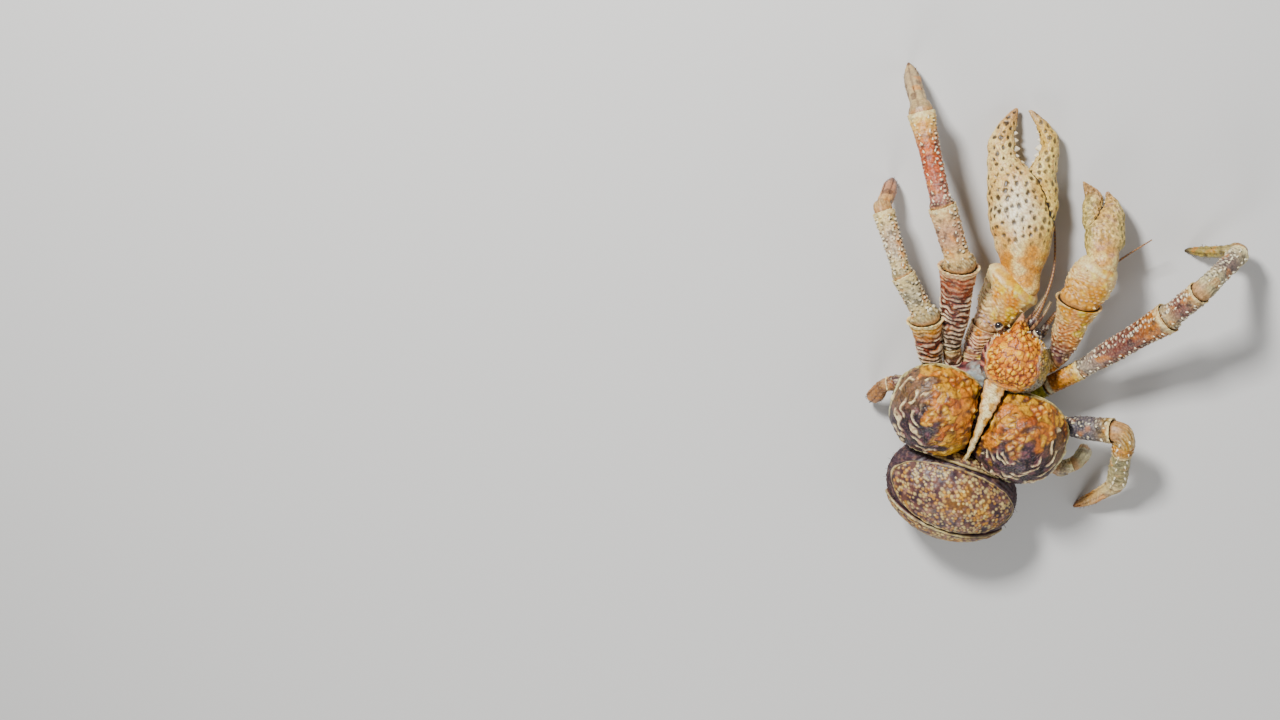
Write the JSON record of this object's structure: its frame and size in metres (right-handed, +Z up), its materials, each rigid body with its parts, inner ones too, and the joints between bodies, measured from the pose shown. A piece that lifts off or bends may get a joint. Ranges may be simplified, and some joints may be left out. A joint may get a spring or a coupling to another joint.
{
  "type": "coconut crab model",
  "caption": "Life-size still model of a coconut crab resting on the floor, both claws stretched forward and the walking legs spread on their tips.",
  "frame": {"origin": "middle of the footprint of the whole animal, at floor level", "axes": "+Y from the abdomen towards the head, +X to the animal's right side, +Z up from the floor"},
  "size_m": [0.4143, 0.4847, 0.1247],
  "materials": {
    "shield_shell": "hard scaly shell, orange, satin",
    "lobe_shell": "hard shell, orange to purple-brown with cream ridges, satin",
    "strip_shell": "cream shell, satin",
    "abdomen_plate": "hard plate, purple-brown with beige dots, satin",
    "abdomen_skin": "soft wrinkled skin, dark purple-brown",
    "underside_shell": "pale brown shell, satin",
    "claw_shell": "cream shell with dark pits, satin",
    "leg_shell": "ridged red-brown and cream shell, satin",
    "tip_shell": "olive to cream horny tips, satin",
    "eye_gloss": "near-black, glossy",
    "stalk_shell": "brown stalks, satin",
    "feeler_shell": "orange-brown jointed shell, satin"
  },
  "bodies": {
    "root": {"abdomen_bag": "abdomen_skin", "antenna_left": "feeler_shell", "antenna_right": "feeler_shell", "antennule_left": "feeler_shell", "antennule_right": "feeler_shell", "carapace_lobe_left": "lobe_shell", "carapace_lobe_right": "lobe_shell", "carapace_shield": "shield_shell", "carapace_strip": "strip_shell", "claw_left_carpus": "claw_shell", "claw_left_dactylus": "claw_shell", "claw_left_ischium": "claw_shell", "claw_left_merus": "claw_shell", "claw_left_propodus": "claw_shell", "claw_right_carpus": "claw_shell", "claw_right_dactylus": "claw_shell", "claw_right_ischium": "claw_shell", "claw_right_merus": "claw_shell", "claw_right_propodus": "claw_shell", "eye_left": "eye_gloss", "eye_right": "eye_gloss", "eyestalk_left": "stalk_shell", "eyestalk_right": "stalk_shell", "leg_2_left_carpus": "leg_shell", "leg_2_left_dactylus": "tip_shell", "leg_2_left_ischium": "leg_shell", "leg_2_left_merus": "leg_shell", "leg_2_left_propodus": "leg_shell", "leg_2_right_carpus": "leg_shell", "leg_2_right_dactylus": "tip_shell", "leg_2_right_ischium": "leg_shell", "leg_2_right_merus": "leg_shell", "leg_2_right_propodus": "leg_shell", "leg_3_left_carpus": "leg_shell", "leg_3_left_dactylus": "tip_shell", "leg_3_left_ischium": "leg_shell", "leg_3_left_merus": "leg_shell", "leg_3_left_propodus": "leg_shell", "leg_3_right_carpus": "leg_shell", "leg_3_right_dactylus": "tip_shell", "leg_3_right_ischium": "leg_shell", "leg_3_right_merus": "leg_shell", "leg_3_right_propodus": "leg_shell", "leg_4_left_carpus": "leg_shell", "leg_4_left_chela": "tip_shell", "leg_4_left_merus": "leg_shell", "leg_4_right_carpus": "leg_shell", "leg_4_right_chela": "tip_shell", "leg_4_right_merus": "leg_shell", "maxilliped_left": "feeler_shell", "maxilliped_right": "feeler_shell", "tail_fan": "abdomen_plate", "tergite_1": "abdomen_plate", "tergite_2": "abdomen_plate", "tergite_3": "abdomen_plate", "tergite_4": "abdomen_plate", "thorax": "underside_shell"}
  },
  "joints": []
}
